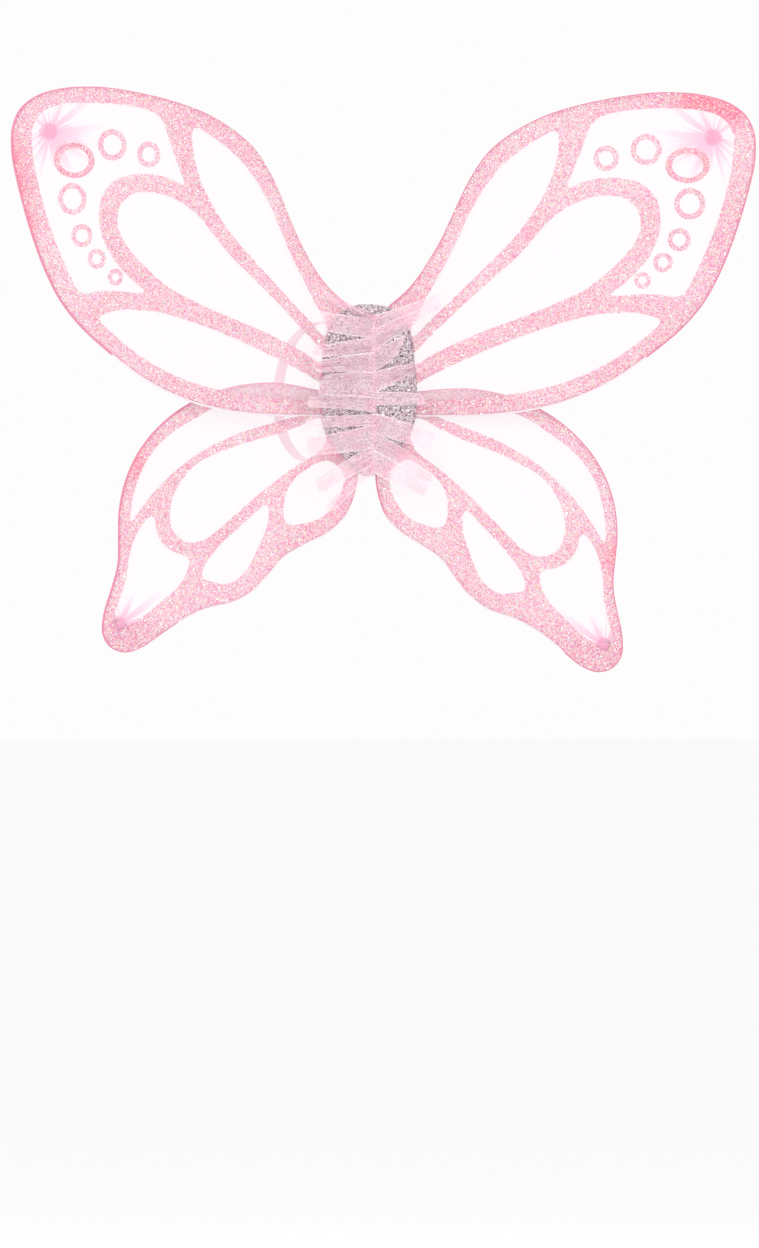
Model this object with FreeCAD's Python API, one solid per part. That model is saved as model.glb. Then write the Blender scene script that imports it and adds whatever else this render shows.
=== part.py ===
"""Fairy wings for a child: four wire-framed lobes in sheer nylon, held in a padded centre panel.

Frame: +X to the side, +Z up, +Y towards the wearer's back. The origin is the centre of the
wearer-side face of the felt backing. All sizes are in millimetres.
"""

import FreeCAD
import Part
import math
import os

from FreeCAD import Vector

os.makedirs("parts", exist_ok=True)

# ---------------------------------------------------------------- driving dimensions
WIRE_RADIUS = 1.1
CLOTH = 0.4
SLEEVE_WALL = 0.5
SLEEVE_THICKNESS = 3.2
FILM = 0.25
PRINT_INSET = 0.6

FELT = 2.0
STRAP_THICKNESS = 1.2
STRAP_WIDTH = 8.0
CARD = 1.2
GLUE = 0.4
COVER_DEPTH = 5.3
COVER_SKIN = 0.8
COVER_EDGE_RADIUS = 4.0
RUFFLE_DEPTH = 5.0

FOLD_LINE = 39.5
ROOT_END = 35.0
LOBE_START = 40.0
FOLD_DEPTH = -8.2
UPPER_SWEEP = 18.0
LOWER_SWEEP = 9.0
LOWER_BEND = 3.0
BEND_CENTRE = (36.0, -40.0)

STRAP_ANCHOR_X = 16.0
STRAP_SPLAY = 15.0
STRAP_TOP = 46.0
STRAP_BOTTOM = -38.0
STRAP_START = 6.5
STUB_REACH = 2.6
TAB_LENGTH = 13.0
SLIT_PLAY = 0.5

KNOT_RADIUS = 6.5
KNOT_HEIGHT = 4.0
NECK_RADIUS = 3.5
NECK_HEIGHT = 1.6
THREAD = 0.3

# Depths of the stacked layers, from the wearer's side outwards.
CARD_BACK = -(FELT + STRAP_THICKNESS)
CARD_FRONT = CARD_BACK - CARD
LOWER_BACK = CARD_FRONT - GLUE
LOWER_PLANE = LOWER_BACK - SLEEVE_THICKNESS / 2
UPPER_BACK = LOWER_BACK - SLEEVE_THICKNESS - GLUE
UPPER_PLANE = UPPER_BACK - SLEEVE_THICKNESS / 2
COVER_BACK = UPPER_BACK - SLEEVE_THICKNESS - GLUE
COVER_FRONT = COVER_BACK - COVER_DEPTH

# ---------------------------------------------------------------- outlines, (outwards, up)
SHIELD_HALF = [
    (10, 61), (21, 55), (27.5, 46), (31.5, 34), (33, 14),
    (35, -8), (31.5, -28), (22, -43), (10, -56), (0, -62),
]

UPPER_OUTLINE = [
    (6, -18.5), (6, 52), (15, 61), (28, 71.5), (40, 87), (52, 106), (62, 128), (73, 151),
    (86, 170), (103, 183), (125, 194.5), (150, 202), (178, 207.5), (208, 211), (236, 209.5),
    (257, 204), (271, 194), (277, 180), (277, 161), (271, 136), (263, 110), (253, 84),
    (240, 60), (224, 42), (204, 26), (180, 8.5), (157, -3), (134, -11), (108, -16), (78, -18.5),
]

LOWER_OUTLINE = [
    (6, -63), (6, -6), (40, 1), (70, 4.5), (98, 0.5), (124, -9), (144, -22), (160, -38),
    (171, -55), (178, -74), (181, -94), (180, -113), (179, -131), (183, -148), (188, -165),
    (189, -180), (183, -190), (171, -194), (158, -189), (144, -178), (130, -168), (113, -159),
    (92, -154), (78, -145), (68, -133), (57, -119), (41, -109.5), (26, -102), (15, -91), (9, -77),
]

# Cells are the bare areas inside the printed border and veins.
UPPER_CELLS = [
    [
        (38, 60), (52, 83), (62, 102), (71, 122), (82, 142), (96, 160), (114, 174), (138, 187),
        (136, 162), (127, 139), (110, 113), (85, 88), (60, 64), (38, 43),
    ],
    [
        (161, 193), (185, 198), (212, 199.5), (238, 198), (254, 192.5), (262, 181), (261, 160),
        (254, 130), (241, 95), (225, 64), (205, 68), (170, 66), (186, 77), (202, 94), (210, 114),
        (208, 134), (196, 147), (174, 151), (155, 148), (141, 141), (151, 165),
    ],
    [
        (130, 121), (146, 132), (165, 138), (183, 137), (194, 128), (196, 114), (189, 100),
        (174, 85), (155, 70), (122, 56), (80, 41), (51, 28), (38, 20), (38, 32), (75, 67),
        (110, 97),
    ],
    [
        (213, 49), (194, 55), (166, 54.6), (132, 46), (95, 33), (62, 19), (38, 7), (38, -8),
        (80, -6), (122, 0), (151, 8.5), (180, 23),
    ],
]

LOWER_CELLS = [
    [
        (128, -25), (145, -36), (157, -48), (166, -64), (171, -82), (173, -105), (160, -84),
        (142, -64), (121, -47), (94, -33), (61, -22), (46, -17.5), (62, -9), (88, -8.5), (112, -15),
    ],
    [
        (38, -20), (61, -31), (90, -40), (118, -52), (130, -61), (140, -76), (144, -92),
        (141, -106), (130, -114), (116, -111), (99, -96), (76, -74), (54, -56), (38, -46),
    ],
    [
        (155, -93), (165, -104), (171, -120), (174, -148), (181, -166), (179, -179), (166, -173),
        (146, -156), (131, -142), (125, -123), (141, -120), (151, -111),
    ],
    [
        (70, -80), (70, -98), (76, -113), (84, -131), (97, -142), (119, -138), (114, -124),
        (98, -106),
    ],
    [(58, -66), (38, -52), (38, -96), (60, -99)],
]

# Printed rings: centre out, centre up, outer radius, inner radius.
RINGS = [
    (228.5, 158.5, 13.5, 9.5),
    (199, 170, 11, 7.2),
    (170.5, 164, 9.1, 5.3),
    (230, 131.5, 11.1, 7.3),
    (222.5, 106, 8.2, 4.8),
    (211, 90, 7, 3.7),
    (196.5, 77.5, 5.9, 2.9),
]

UPPER_KNOT = (246, 178.5)
LOWER_KNOT = (175, -174)

# The strap's course in its own plane: (out from the swing line, up).
STRAP_COURSE = [
    (STRAP_START, STRAP_TOP), (30, 50), (57, 49), (83, 42), (104, 28), (116, 8), (116, -15),
    (104, -34), (82, -46), (56, -50), (30, -46), (STRAP_START, STRAP_BOTTOM),
]

RUFFLE_HALF = [(0, 62), (26, 64), (34, 48), (30, 20), (33, -10), (30, -36), (26, -58), (0, -66)]


# ---------------------------------------------------------------- shape helpers
def flat_point(point, y=0.0):
    """A point of an outline, standing in the XZ plane at depth y."""
    return Vector(point[0], y, point[1])


def rounded_path(points, closed):
    """Straight runs through the points, each corner an arc tangent to both runs."""
    corners = [flat_point(p) for p in points]
    count = len(corners)
    edges = []
    joints = []
    for i, corner in enumerate(corners):
        if not closed and i in (0, count - 1):
            joints.append((corner, None, corner))
            continue
        before = corner - corners[i - 1]
        after = corners[(i + 1) % count] - corner
        reach = 0.45 * min(before.Length, after.Length)
        before.normalize()
        after.normalize()
        turn = before.getAngle(after)
        start = corner - before * reach
        end = corner + after * reach
        if turn < math.radians(0.5):
            joints.append((corner, None, corner))
            continue
        radius = reach / math.tan(turn / 2)
        inwards = after - before
        inwards.normalize()
        middle = corner + inwards * (radius / math.cos(turn / 2) - radius)
        joints.append((start, middle, end))
    for i, (start, middle, end) in enumerate(joints):
        if middle is not None:
            edges.append(Part.Arc(start, middle, end).toShape())
        if closed or i < count - 1:
            following = joints[(i + 1) % count][0]
            edges.append(Part.makeLine(end, following))
    return Part.Wire(edges)


def shield_outline():
    """The centre panel's outline: the half outline and its mirror image."""
    left = [(-x, z) for x, z in reversed(SHIELD_HALF[:-1])]
    return rounded_path(SHIELD_HALF + left, True)


def inset_face(outline, inset):
    """The face inside an outline, drawn in by inset."""
    face = Part.Face(outline)
    return face.makeOffset2D(-inset) if inset else face


def slab(face, back, thickness):
    """A face made into a plate whose wearer side lies at depth back."""
    plate = face.extrude(Vector(0, -thickness, 0))
    plate.translate(Vector(0, back, 0))
    return plate


def keep_outside(shape, limit):
    """The part of a shape beyond the limit, away from the centre."""
    return shape.common(Part.makeBox(400, 200, 800, Vector(limit, -100, -400)))


def keep_inside(shape, limit):
    """The part of a shape nearer the centre than the limit."""
    return shape.common(Part.makeBox(limit + 20, 200, 800, Vector(-20, -100, -400)))


def spun(points, degrees):
    """Outline points turned in their plane about the place where a lower wing's wire is bent."""
    c, s = math.cos(math.radians(degrees)), math.sin(math.radians(degrees))
    turned = []
    for x, z in points:
        dx, dz = x - BEND_CENTRE[0], z - BEND_CENTRE[1]
        turned.append((BEND_CENTRE[0] + dx * c - dz * s, BEND_CENTRE[1] + dx * s + dz * c))
    return turned


def swept(shape, sweep):
    """A right-hand lobe turned back about its fold line."""
    turned = shape.copy()
    turned.rotate(Vector(FOLD_LINE, FOLD_DEPTH, 0), Vector(0, 0, 1), -sweep)
    return turned


def on_side(shape, side):
    """The shape itself on the right, or its mirror image on the left."""
    return shape if side == "right" else shape.mirror(Vector(0, 0, 0), Vector(1, 0, 0))


def save(name, shape):
    """Writes one sub-part."""
    shape.exportStep("parts/" + name + ".step")
    print(name, "solids", len(shape.Solids), "valid", shape.isValid(), "mm3", round(shape.Volume))


# ---------------------------------------------------------------- lobes
def hoop_wire(outline, plane):
    """The hoop's wire, just inside the sleeve, open where its two ends lie in the centre panel."""
    inset = SLEEVE_WALL + 0.1 + WIRE_RADIUS
    ring = inset_face(outline, inset).OuterWire
    inner = min(v.X for v in ring.Vertexes)
    course = [
        e for e in ring.Edges if max(v.X for v in e.Vertexes) > inner + 5 or e.Length < 1
    ]
    path = Part.Wire(Part.sortEdges(course)[0])
    first = path.OrderedEdges[0]
    start = first.valueAt(first.FirstParameter)
    along = first.tangentAt(first.FirstParameter)
    if (path.OrderedVertexes[0].Point - start).Length > 1e-6:
        start = first.valueAt(first.LastParameter)
    profile = Part.Wire(Part.makeCircle(WIRE_RADIUS, start, along))
    wire = path.makePipeShell([profile], True, True)
    wire.translate(Vector(0, plane, 0))
    return wire


def sleeve_pocket(outline, plane):
    """A sleeve drawn over its hoop: two skins with the hoop's hollow between them."""
    skin = slab(inset_face(outline, 0), plane + SLEEVE_THICKNESS / 2, SLEEVE_THICKNESS)
    hollow_depth = SLEEVE_THICKNESS - 2 * CLOTH
    hollow = slab(inset_face(outline, SLEEVE_WALL), plane + hollow_depth / 2, hollow_depth)
    return skin.cut(hollow)


def glitter_print(outline, cells, front):
    """The printed film: a border and veins, left after the bare cells are taken out."""
    film = slab(inset_face(outline, PRINT_INSET), front, FILM)
    holes = [slab(inset_face(rounded_path(cell, True), 0), front + 1, FILM + 2) for cell in cells]
    return film.cut(holes)


def printed_rings(front):
    """The trail of printed rings near an upper tip."""
    away = Vector(0, -1, 0)
    rings = []
    for x, z, outer, inner in RINGS:
        disc = Part.makeCylinder(outer, FILM, Vector(x, front, z), away)
        rings.append(disc.cut(Part.makeCylinder(inner, FILM, Vector(x, front, z), away)))
    return Part.makeCompound(rings)


def tip_knot(place, back):
    """The sleeve's tied-off end: a neck and a rounded tuft on the wearer's side."""
    base = flat_point(place, back)
    neck = Part.makeCylinder(NECK_RADIUS, NECK_HEIGHT, base, Vector(0, 1, 0))
    top = base + Vector(0, NECK_HEIGHT, 0)
    tuft = Part.makeCylinder(KNOT_RADIUS, KNOT_HEIGHT, top, Vector(0, 1, 0))
    tuft = tuft.makeFillet(KNOT_HEIGHT * 0.45, tuft.Edges)
    return neck.fuse(tuft)


def tie_thread(place, back):
    """Two turns of thread round the neck of a tip knot."""
    turns = []
    for step in (0.4, 1.1):
        centre = flat_point(place, back + step)
        turns.append(Part.makeTorus(NECK_RADIUS + THREAD, THREAD * 0.95, centre, Vector(0, 1, 0)))
    return Part.makeCompound(turns)


def make_lobe(side, level):
    """One lobe: its pieces beyond the fold line, and its sleeve root and wire tails inside it."""
    upper = level == "upper"
    bend = 0.0
    if not upper:
        bend = -LOWER_BEND if side == "right" else LOWER_BEND
    points = UPPER_OUTLINE if upper else spun(LOWER_OUTLINE, bend)
    cells = UPPER_CELLS if upper else [spun(cell, bend) for cell in LOWER_CELLS]
    knot_place = UPPER_KNOT if upper else spun([LOWER_KNOT], bend)[0]
    plane = UPPER_PLANE if upper else LOWER_PLANE
    sweep = UPPER_SWEEP if upper else LOWER_SWEEP
    outline = rounded_path(points, True)
    front = plane - SLEEVE_THICKNESS / 2
    back = plane + SLEEVE_THICKNESS / 2
    name = side + "_" + level + "_"

    wire = hoop_wire(outline, plane)
    pocket = sleeve_pocket(outline, plane)
    moving = {
        "hoop_wire": keep_outside(wire, LOBE_START),
        "sleeve": keep_outside(pocket, LOBE_START),
        "glitter_print": keep_outside(glitter_print(outline, cells, front), LOBE_START),
        "tip_knot": tip_knot(knot_place, back),
        "tip_thread": tie_thread(knot_place, back),
    }
    if upper:
        moving["printed_rings"] = printed_rings(front)
    for piece, shape in moving.items():
        save(name + piece, on_side(swept(shape, sweep), side))
    save(name + "wire_tails", on_side(keep_inside(wire, ROOT_END), side))
    save(name + "sleeve_root", on_side(keep_inside(pocket, ROOT_END), side))


# ---------------------------------------------------------------- centre panel
def strap_slit(height):
    """The slit in the felt that one strap end comes through, for the right-hand strap."""
    wide = STRAP_WIDTH + 2 * SLIT_PLAY
    tall = STRAP_THICKNESS + 2 * SLIT_PLAY
    corner = Vector(STRAP_ANCHOR_X - wide / 2, -FELT - 1, height - tall / 2)
    return Part.makeBox(wide, FELT + 2, tall, corner)


def tack_groove_boxes(depth, play):
    """Two rows of stitches across each right-hand strap tab, sunk in the felt's face."""
    boxes = []
    for height, inwards in ((STRAP_TOP, -1), (STRAP_BOTTOM, 1)):
        for step in (5.0, 9.0):
            z = height + inwards * step
            size = (STRAP_WIDTH - 1 + play, depth, 0.7 + play)
            corner = Vector(STRAP_ANCHOR_X - size[0] / 2, -depth - (0.05 - play / 4), z - size[2] / 2)
            boxes.append(Part.makeBox(size[0], depth + play, size[2], corner))
    return boxes


def felt_backing():
    """Felt that lies on the wearer's back, with the strap slits and sunk stitches."""
    felt = slab(inset_face(shield_outline(), 0), 0, FELT)
    cuts = []
    for side in ("left", "right"):
        cuts += [on_side(strap_slit(z), side) for z in (STRAP_TOP, STRAP_BOTTOM)]
        cuts += [on_side(box, side) for box in tack_groove_boxes(0.6, 0.2)]
    return felt.cut(cuts)


def strap_ends():
    """The right-hand strap's two sewn-in ends: a tab under the felt and a stub out of the slit."""
    ends = []
    for height, inwards in ((STRAP_TOP, -1), (STRAP_BOTTOM, 1)):
        left = STRAP_ANCHOR_X - STRAP_WIDTH / 2
        low = height - STRAP_THICKNESS / 2
        stub = Part.makeBox(
            STRAP_WIDTH, STUB_REACH - CARD_BACK, STRAP_THICKNESS, Vector(left, CARD_BACK, low)
        )
        tab_low = height if inwards > 0 else height - TAB_LENGTH
        tab = Part.makeBox(STRAP_WIDTH, STRAP_THICKNESS, TAB_LENGTH, Vector(left, CARD_BACK, tab_low))
        ends.append(stub.fuse(tab).removeSplitter())
    return Part.makeCompound(ends)


def cover_block(inset, depth, edge_radius):
    """A padded block with the panel's outline and a rounded front edge."""
    block = slab(inset_face(shield_outline(), inset), COVER_BACK, depth)
    front_edges = [
        e for e in block.Edges if all(abs(v.Y - (COVER_BACK - depth)) < 1e-6 for v in e.Vertexes)
    ]
    return block.makeFillet(edge_radius, front_edges)


def edge_stitches():
    """Short stitches that catch the cover's front just inside its rounded edge."""
    course = inset_face(shield_outline(), COVER_EDGE_RADIUS + 1.5).OuterWire
    count = 64
    stitches = []
    places = course.discretize(Number=2 * count + 1)
    for i in range(count):
        start, end = places[2 * i], places[2 * i + 1]
        along = end - start
        stitch = Part.makeBox(along.Length, 0.35, 0.7, Vector(0, -0.35, -0.35))
        tilt = math.degrees(math.atan2(-along.z, along.x))
        stitch.rotate(Vector(0, 0, 0), Vector(0, 1, 0), tilt)
        stitch.translate(start + Vector(0, COVER_FRONT, 0))
        stitches.append(stitch)
    return Part.makeCompound(stitches)


def tulle_ruffle():
    """The ruffle as a plain soft pad, pinched along the gathering line."""
    left = [(-x, z) for x, z in reversed(RUFFLE_HALF[1:-1])]
    outline = rounded_path(RUFFLE_HALF + left, True)
    pad = slab(inset_face(outline, 0), COVER_FRONT - 0.4, RUFFLE_DEPTH)
    groove = Part.makeBox(3, 3.2, 200, Vector(-1.5, COVER_FRONT - 0.4 - RUFFLE_DEPTH - 1, -100))
    return pad.cut(groove)


def gathering_stitches():
    """The row of stitches that gathers the ruffle onto the cover."""
    bottom = COVER_FRONT - 0.4 - RUFFLE_DEPTH + 2.2
    pitch = 7.0
    stitches = []
    for i in range(17):
        z = -56 + i * pitch
        stitches.append(Part.makeBox(0.8, 0.5, 4.5, Vector(-0.4, bottom - 0.5, z)))
    return Part.makeCompound(stitches)


def make_panel():
    """All the layers of the centre panel."""
    save("felt_backing", felt_backing())
    save("stiffener_card", slab(inset_face(shield_outline(), 2.5), CARD_BACK, CARD))
    layer = inset_face(shield_outline(), 3.0)
    save("back_glue_layer", slab(layer, CARD_FRONT, GLUE))
    save("middle_glue_layer", slab(layer, UPPER_BACK + GLUE, GLUE))
    save("front_glue_layer", slab(layer, COVER_BACK + GLUE, GLUE))
    hollow = cover_block(COVER_SKIN, COVER_DEPTH - COVER_SKIN, COVER_EDGE_RADIUS - COVER_SKIN)
    save("glitter_cover", cover_block(0, COVER_DEPTH, COVER_EDGE_RADIUS).cut(hollow))
    save("foam_pad", hollow)
    save("cover_stitching", edge_stitches())
    save("tulle_ruffle", tulle_ruffle())
    save("gathering_thread", gathering_stitches())
    for side in ("left", "right"):
        save(side + "_strap_ends", on_side(strap_ends(), side))
    tacks = []
    for side in ("left", "right"):
        tacks += [on_side(box, side) for box in tack_groove_boxes(0.4, 0.0)]
    save("strap_tacks", Part.makeCompound(tacks))


# ---------------------------------------------------------------- shoulder straps
def shoulder_strap():
    """The right-hand elastic loop, splayed outwards about its swing line."""
    path = rounded_path(STRAP_COURSE, False)
    first = path.OrderedEdges[0]
    along = first.tangentAt(first.FirstParameter)
    across = Vector(0, 1, 0)
    thick = along.cross(across) * (STRAP_THICKNESS / 2)
    wide = across * (STRAP_WIDTH / 2)
    start = flat_point(STRAP_COURSE[0])
    corners = [start + thick + wide, start - thick + wide, start - thick - wide, start + thick - wide]
    profile = Part.makePolygon(corners + corners[:1])
    pipe = Part.BRepOffsetAPI.MakePipeShell(path)
    pipe.setBiNormalMode(across)
    pipe.add(profile)
    pipe.build()
    pipe.makeSolid()
    strap = pipe.shape()
    strap.rotate(Vector(0, 0, 0), Vector(0, 0, 1), 90 - STRAP_SPLAY)
    strap.translate(Vector(STRAP_ANCHOR_X, 0, 0))
    print("strap loop length", round(path.Length))
    return strap


make_panel()
for wing_side in ("left", "right"):
    for wing_level in ("upper", "lower"):
        make_lobe(wing_side, wing_level)
    save(wing_side + "_shoulder_strap", on_side(shoulder_strap(), wing_side))
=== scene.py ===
import math

import bmesh
import bpy
import numpy as np
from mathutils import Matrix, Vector
from mathutils.geometry import delaunay_2d_cdt


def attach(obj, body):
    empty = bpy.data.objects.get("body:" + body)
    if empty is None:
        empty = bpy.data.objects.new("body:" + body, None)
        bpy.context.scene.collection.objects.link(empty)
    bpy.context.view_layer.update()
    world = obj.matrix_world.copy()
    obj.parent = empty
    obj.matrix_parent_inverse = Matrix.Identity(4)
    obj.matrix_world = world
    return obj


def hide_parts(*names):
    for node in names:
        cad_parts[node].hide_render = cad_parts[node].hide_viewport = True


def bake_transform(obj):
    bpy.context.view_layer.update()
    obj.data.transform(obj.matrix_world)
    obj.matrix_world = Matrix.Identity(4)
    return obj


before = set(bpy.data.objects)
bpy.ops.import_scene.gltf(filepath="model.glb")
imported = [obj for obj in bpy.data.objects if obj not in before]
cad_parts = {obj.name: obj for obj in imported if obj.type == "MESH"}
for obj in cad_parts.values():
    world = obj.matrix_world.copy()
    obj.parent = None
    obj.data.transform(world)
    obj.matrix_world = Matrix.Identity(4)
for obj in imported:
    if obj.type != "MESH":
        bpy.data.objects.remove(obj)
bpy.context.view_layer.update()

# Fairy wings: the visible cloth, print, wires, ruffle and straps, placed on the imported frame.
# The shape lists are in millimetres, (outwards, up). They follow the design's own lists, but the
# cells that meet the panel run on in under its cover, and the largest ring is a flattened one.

MM = 0.001

# ---------------------------------------------------------------- view, in metres and degrees
CAMERA_AZIMUTH = math.radians(-9.5)
CAMERA_TARGET = Vector((0.0093, 0.0, -0.1655))
CAMERA_DISTANCE = 6.5
LENS_LENGTH = 264.0

# ---------------------------------------------------------------- sizes, in millimetres
FOLD_LINE = 39.5
FOLD_DEPTH = -8.2
FOLD_START = 35.5
FOLD_END = 43.5
UPPER_PLANE = -10.0
LOWER_PLANE = -6.4
UPPER_SWEEP = math.radians(18)
LOWER_SWEEP = math.radians(9)
LOWER_BEND = 3.0
BEND_CENTRE = np.array([36.0, -40.0])
HEM_RADIUS = 1.5
WIRE_RADIUS = 1.1
WIRE_INSET = 1.7
FILM = 0.3
COVER_BACK = -12.0
COVER_RISE = 5.3
STRAP_ANCHOR_X = 16.0
STRAP_SPLAY = math.radians(15)
STRAP_WIDTH = 8.0
STRAP_THICKNESS = 1.2
STRAP_START = 6.5
STRAP_SEWN_DEPTH = -2.6
STRIP_LENGTH = 42.0
RUFFLE_DEPTH = -18.2
RUFFLE_THREAD_DEPTH = -20.9
PRINT_GRID = 4.0
FLOOR_LEVEL = -760
FLOOR_REACH = 4e4

# ---------------------------------------------------------------- outlines
SHIELD_HALF = [
    (10, 61), (21, 55), (27.5, 46), (31.5, 34), (33, 14),
    (35, -8), (31.5, -28), (22, -43), (10, -56), (0, -62),
]

UPPER_OUTLINE = [
    (6, -18.5), (6, 52), (15, 61), (28, 71.5), (40, 87), (52, 106), (62, 128), (73, 151),
    (86, 170), (103, 183), (125, 194.5), (150, 202), (178, 207.5), (208, 211), (236, 209.5),
    (257, 204), (271, 194), (277, 180), (277, 161), (271, 136), (263, 110), (253, 84),
    (240, 60), (224, 42), (204, 26), (180, 8.5), (157, -3), (134, -11), (108, -16), (78, -18.5),
]

LOWER_OUTLINE = [
    (6, -63), (6, -6), (40, 1), (70, 4.5), (98, 0.5), (124, -9), (144, -22), (160, -38),
    (171, -55), (178, -74), (181, -94), (180, -113), (179, -131), (183, -148), (188, -165),
    (189, -180), (183, -190), (171, -194), (158, -189), (144, -178), (130, -168), (113, -159),
    (92, -154), (78, -145), (68, -133), (57, -119), (41, -109.5), (26, -102), (15, -91), (9, -77),
]

# Bare cells inside the printed border and veins.
UPPER_CELLS = [
    [
        (30, 48), (38, 60), (52, 83), (62, 102), (71, 122), (82, 142), (96, 160), (114, 174),
        (138, 187), (136, 162), (127, 139), (110, 113), (85, 88), (60, 64), (30, 36),
    ],
    [
        (161, 193), (185, 198), (212, 199.5), (238, 198), (254, 192.5), (262, 181), (261, 160),
        (254, 130), (241, 95), (225, 64), (205, 68), (170, 66), (186, 77), (202, 94), (210, 114),
        (208, 134), (196, 147), (174, 151), (155, 148), (141, 141), (151, 165),
    ],
    [
        (130, 121), (146, 132), (165, 138), (183, 137), (194, 128), (196, 114), (189, 100),
        (174, 85), (155, 70), (122, 56), (80, 41), (51, 28), (28, 15), (28, 23), (75, 67),
        (110, 97),
    ],
    [
        (213, 49), (194, 55), (166, 54.6), (132, 46), (95, 33), (62, 19), (28, 2), (28, -8),
        (80, -6), (122, 0), (151, 8.5), (180, 23),
    ],
]

LOWER_CELLS = [
    [
        (128, -25), (145, -36), (157, -48), (166, -64), (171, -82), (173, -105), (160, -84),
        (142, -64), (121, -47), (94, -33), (61, -22), (46, -17.5), (62, -9), (88, -8.5), (112, -15),
    ],
    [
        (30, -16), (61, -31), (90, -40), (118, -52), (130, -61), (140, -76), (144, -92),
        (141, -106), (130, -114), (116, -111), (99, -96), (76, -74), (54, -56), (30, -41),
    ],
    [
        (155, -93), (165, -104), (171, -120), (174, -148), (181, -166), (179, -179), (166, -173),
        (146, -156), (131, -142), (125, -123), (141, -120), (151, -111),
    ],
    [
        (70, -80), (70, -98), (76, -113), (84, -131), (97, -142), (119, -138), (114, -124),
        (98, -106),
    ],
    [(58, -66), (30, -47), (14, -58), (20, -78), (32, -92), (60, -99)],
]

# Printed rings: centre out, centre up, outer and inner half widths, height over width.
RINGS = [
    (228.5, 158.5, 15.8, 11.2, 0.78),
    (199, 170, 11, 7.2, 1.0),
    (170.5, 164, 9.1, 5.3, 1.0),
    (230, 131.5, 11.1, 7.3, 1.0),
    (222.5, 106, 8.2, 4.8, 1.0),
    (211, 90, 7, 3.7, 1.0),
    (196.5, 77.5, 5.9, 2.9, 1.0),
]

UPPER_KNOT = (246, 178.5)
LOWER_KNOT = (175, -174)

STRAP_COURSE = [
    (STRAP_START, 46), (30, 50), (57, 49), (83, 42), (104, 28), (116, 8), (116, -15),
    (104, -34), (82, -46), (56, -50), (30, -46), (STRAP_START, -38),
]

# The ruffle's strips: caught from this height down to this one, and the outer end's two corners.
LEFT_FRILLS = [
    (53, 48, (36, 72), (25, 60)),
    (51, 37, (38, 56), (35, 42)),
    (38, 26, (41, 31), (41, 23)),
    (27, 12, (42, 20), (39, 12.5)),
    (13, -6, (34, 10), (38, -4)),
    (-5, -16, (44, -5), (45, -12.5)),
    (-17, -25, (44, -19), (47, -26)),
    (-24, -41, (46, -34), (45, -46)),
    (-39, -53, (40, -63), (36, -73)),
    (-49, -58, (34, -83), (27, -85)),
]
RIGHT_FRILLS = [
    (53, 39, (49, 70), (48, 57)),
    (43, 27, (36, 58), (30, 46)),
    (29, 12, (24, 39), (15, 22)),
    (13, -3, (38, 20.5), (36, 15.5)),
    (-1, -11, (34, -2), (38, -10)),
    (-16, -31, (45, -30), (43, -44)),
    (-29, -43, (43, -56), (42, -66)),
    (-41, -58, (40, -63), (37, -75)),
]
RUFFLE_LINE = 1.4


# ---------------------------------------------------------------- flat geometry
def rounded_course(points, closed=True, step=1.0):
    """The runs through the points with tangent arcs at the corners, as evenly spaced points."""
    points = np.array(points, float)
    count = len(points)
    course = []
    for i, corner in enumerate(points):
        if not closed and i in (0, count - 1):
            course.append(corner)
            continue
        before = corner - points[i - 1]
        after = points[(i + 1) % count] - corner
        reach = 0.45 * min(np.hypot(*before), np.hypot(*after))
        before /= np.hypot(*before)
        after /= np.hypot(*after)
        for t in np.linspace(0, 1, 9):
            pull = (1 - t) ** 2, 2 * t * (1 - t), t ** 2
            course.append(
                pull[0] * (corner - before * reach) + pull[1] * corner
                + pull[2] * (corner + after * reach)
            )
    course = np.array(course)
    if closed:
        course = np.vstack([course, course[:1]])
    along = np.r_[0, np.cumsum(np.hypot(*np.diff(course, axis=0).T))]
    number = max(8, round(along[-1] / step))
    places = np.linspace(0, along[-1], number + (0 if closed else 1), endpoint=not closed)
    return np.c_[np.interp(places, along, course[:, 0]), np.interp(places, along, course[:, 1])]


def outward_normals(loop):
    """Unit normals that point out of a closed loop."""
    ahead = np.roll(loop, -1, axis=0) - np.roll(loop, 1, axis=0)
    normal = np.c_[ahead[:, 1], -ahead[:, 0]]
    normal /= np.hypot(*normal.T)[:, None]
    area = np.sum(loop[:, 0] * np.roll(loop[:, 1], -1) - loop[:, 1] * np.roll(loop[:, 0], -1))
    return normal if area > 0 else -normal


def inside(points, loop):
    """Which points lie inside a closed loop."""
    x, y = points[:, 0][:, None], points[:, 1][:, None]
    ax, ay = loop.T
    bx, by = np.roll(loop, -1, axis=0).T
    crossing = ((ay > y) != (by > y)) & (x < (bx - ax) * (y - ay) / (by - ay + 1e-12) + ax)
    return crossing.sum(axis=1) % 2 == 1


def distance_to(points, loop):
    """The distance from each point to the nearest point of a loop."""
    found = np.empty(len(points))
    for start in range(0, len(points), 4000):
        block = points[start:start + 4000]
        gaps = block[:, None, :] - loop[None, :, :]
        found[start:start + 4000] = np.sqrt((gaps ** 2).sum(axis=2).min(axis=1))
    return found


def spun(points, degrees):
    """Points turned in their plane about the place where a lower wing's wire is bent."""
    angle = math.radians(degrees)
    turn = np.array([[math.cos(angle), math.sin(angle)], [-math.sin(angle), math.cos(angle)]])
    return (np.array(points, float) - BEND_CENTRE) @ turn + BEND_CENTRE


def smooth_step(t):
    t = np.clip(t, 0, 1)
    return t * t * (3 - 2 * t)


# ---------------------------------------------------------------- meshes
def new_object(name, data):
    """An object that holds this data, linked into the scene."""
    made = bpy.data.objects.new(name, data)
    bpy.context.collection.objects.link(made)
    return made


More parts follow.
